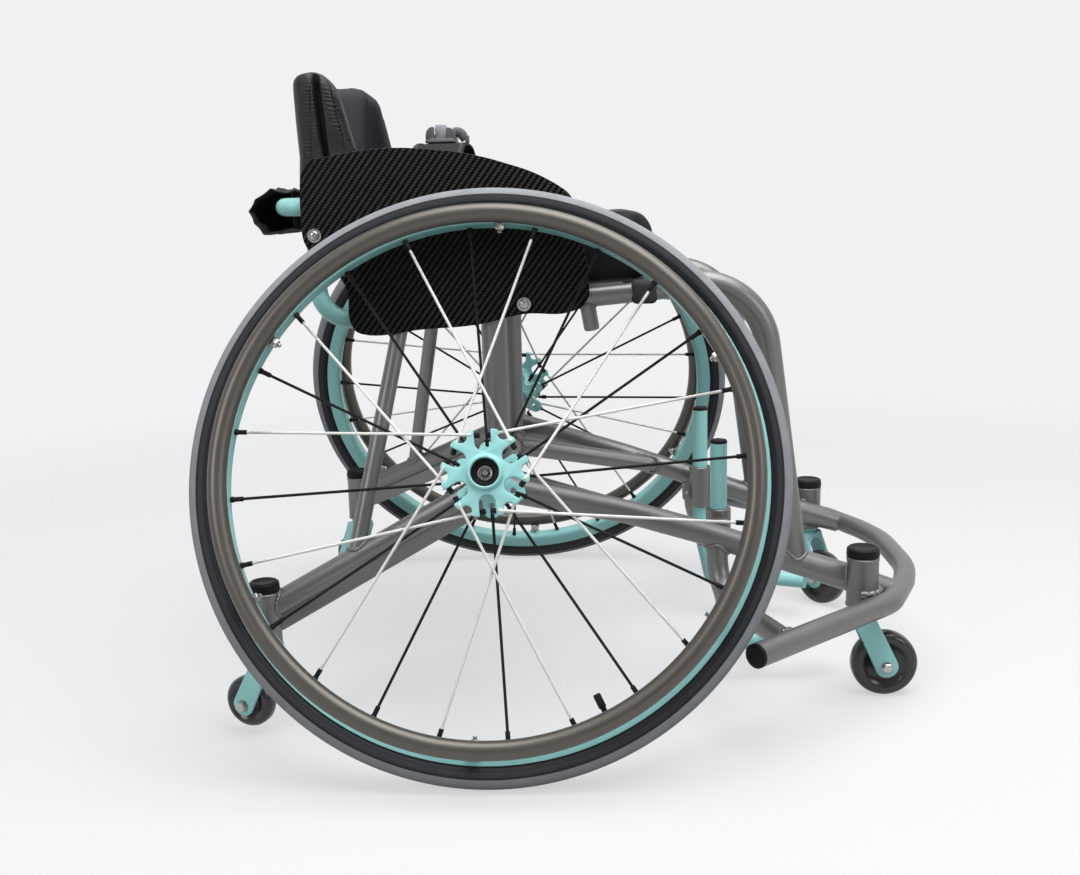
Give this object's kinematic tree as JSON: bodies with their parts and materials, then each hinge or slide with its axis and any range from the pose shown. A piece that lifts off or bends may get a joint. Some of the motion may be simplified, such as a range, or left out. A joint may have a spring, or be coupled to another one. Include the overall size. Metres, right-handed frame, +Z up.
{
  "type": "wheelchair",
  "caption": "Rigid court wheelchair with cambered 25 in wheels, mint rims and hubs, welded grey frame, bumper hoop and four casters.",
  "frame": {"origin": "on the floor at the middle of the footprint: half way between the wheels, and half way between the tyre's rear edge and the bumper's front", "axes": "+X forward (towards the footrest), +Y to the sitter's left, +Z up"},
  "size_m": [0.796, 0.8534, 0.7038],
  "materials": {
    "mint_paint": "satin mint powder coat",
    "satin_grey": "satin grey, brushed and sealed",
    "bronze_grip": "anodised brown-grey",
    "tyre_rubber": "matt rubber, paler worn tread",
    "black_plastic": "matt black",
    "black_leather": "grained synthetic leather",
    "carbon_twill": "glossy woven twill laminate",
    "steel": "bright machined",
    "black_fabric": "woven nylon"
  },
  "bodies": {
    "chair_frame": {"axle_crossbar": "satin_grey", "back_frame": "mint_paint", "back_pouch": "black_fabric", "back_upholstery": "black_leather", "buckle_body": "black_plastic", "front_bumper": "satin_grey", "front_left_caster_cap": "black_plastic", "front_right_caster_cap": "black_plastic", "lap_belt": "black_fabric", "left_axle": "steel", "left_bumper_cap": "black_plastic", "left_footrest_collar": "satin_grey", "left_rear_member": "satin_grey", "left_rear_strut": "satin_grey", "left_seat_post": "satin_grey", "left_seat_rail": "satin_grey", "left_side_guard": "carbon_twill", "left_side_tube": "satin_grey", "left_wing_strut": "satin_grey", "rear_left_caster_cap": "black_plastic", "rear_right_caster_cap": "black_plastic", "right_axle": "steel", "right_bumper_cap": "black_plastic", "right_footrest_collar": "satin_grey", "right_rear_member": "satin_grey", "right_rear_strut": "satin_grey", "right_seat_post": "satin_grey", "right_seat_rail": "satin_grey", "right_side_guard": "carbon_twill", "right_side_tube": "satin_grey", "right_wing_strut": "satin_grey", "seat_cushion": "black_leather"},
    "right_wheel": {"right_tyre": "tyre_rubber", "right_rim": "mint_paint", "right_handrim": "bronze_grip", "right_hub": "mint_paint", "right_valve": "black_plastic"},
    "right_button": {"right_release_button": "steel"},
    "front_right_swivel": {"front_right_caster_fork": "mint_paint", "front_right_caster_bolt": "steel"},
    "front_right_roller": {"front_right_caster_wheel": "black_plastic"},
    "rear_right_swivel": {"rear_right_caster_fork": "mint_paint", "rear_right_caster_bolt": "steel"},
    "rear_right_roller": {"rear_right_caster_wheel": "black_plastic"},
    "left_wheel": {"left_tyre": "tyre_rubber", "left_rim": "mint_paint", "left_handrim": "bronze_grip", "left_hub": "mint_paint", "left_valve": "black_plastic"},
    "left_button": {"left_release_button": "steel"},
    "front_left_swivel": {"front_left_caster_fork": "mint_paint", "front_left_caster_bolt": "steel"},
    "front_left_roller": {"front_left_caster_wheel": "black_plastic"},
    "rear_left_swivel": {"rear_left_caster_fork": "mint_paint", "rear_left_caster_bolt": "steel"},
    "rear_left_roller": {"rear_left_caster_wheel": "black_plastic"},
    "footrest_slider": {"footrest": "mint_paint", "right_footrest_cap": "black_plastic", "left_footrest_cap": "black_plastic"},
    "belt_lever": {"buckle_lever": "satin_grey"}
  },
  "joints": [
    {"name": "right_wheel_roll", "type": "hinge", "parent": "chair_frame", "child": "right_wheel", "pos_m": [-0.0945, -0.29, 0.28595], "axis": [0, -0.9397, 0.342], "continuous": true},
    {"name": "right_axle_button", "type": "slide", "parent": "chair_frame", "child": "right_button", "axis": [0, -0.9397, 0.342], "range_m": [-0.003, 0], "stiffness_N_per_m": 300},
    {"name": "front_right_caster_swivel", "type": "hinge", "parent": "chair_frame", "child": "front_right_swivel", "pos_m": [0.3095, -0.167, 0.0985], "axis": [0, 0, 1], "continuous": true},
    {"name": "front_right_caster_roll", "type": "hinge", "parent": "front_right_swivel", "child": "front_right_roller", "pos_m": [0.3355, -0.167, 0.037], "axis": [0, 1, 0], "continuous": true},
    {"name": "rear_right_caster_swivel", "type": "hinge", "parent": "chair_frame", "child": "rear_right_swivel", "pos_m": [-0.336, -0.267, 0.0945], "axis": [0, 0, 1], "continuous": true},
    {"name": "rear_right_caster_roll", "type": "hinge", "parent": "rear_right_swivel", "child": "rear_right_roller", "pos_m": [-0.3609, -0.25794, 0.037], "axis": [0.342, 0.9397, 0], "continuous": true},
    {"name": "left_wheel_roll", "type": "hinge", "parent": "chair_frame", "child": "left_wheel", "pos_m": [-0.0945, 0.29, 0.28595], "axis": [0, 0.9397, 0.342], "continuous": true},
    {"name": "left_axle_button", "type": "slide", "parent": "chair_frame", "child": "left_button", "axis": [0, 0.9397, 0.342], "range_m": [-0.003, 0], "stiffness_N_per_m": 300},
    {"name": "front_left_caster_swivel", "type": "hinge", "parent": "chair_frame", "child": "front_left_swivel", "pos_m": [0.3095, 0.167, 0.0985], "axis": [0, 0, 1], "continuous": true},
    {"name": "front_left_caster_roll", "type": "hinge", "parent": "front_left_swivel", "child": "front_left_roller", "pos_m": [0.32621, 0.14708, 0.037], "axis": [0.766, 0.6428, 0], "continuous": true},
    {"name": "rear_left_caster_swivel", "type": "hinge", "parent": "chair_frame", "child": "rear_left_swivel", "pos_m": [-0.336, 0.267, 0.0945], "axis": [0, 0, 1], "continuous": true},
    {"name": "rear_left_caster_roll", "type": "hinge", "parent": "rear_left_swivel", "child": "rear_left_roller", "pos_m": [-0.35474, 0.28574, 0.037], "axis": [0.7071, 0.7071, 0], "continuous": true},
    {"name": "footrest_height", "type": "slide", "parent": "chair_frame", "child": "footrest_slider", "axis": [0, 0, 1], "range_m": [-0.02, 0.02]},
    {"name": "belt_lever_lift", "type": "hinge", "parent": "chair_frame", "child": "belt_lever", "pos_m": [-0.1595, 0, 0.6353], "axis": [1, 0, 0], "range_deg": [0, 60]}
  ]
}
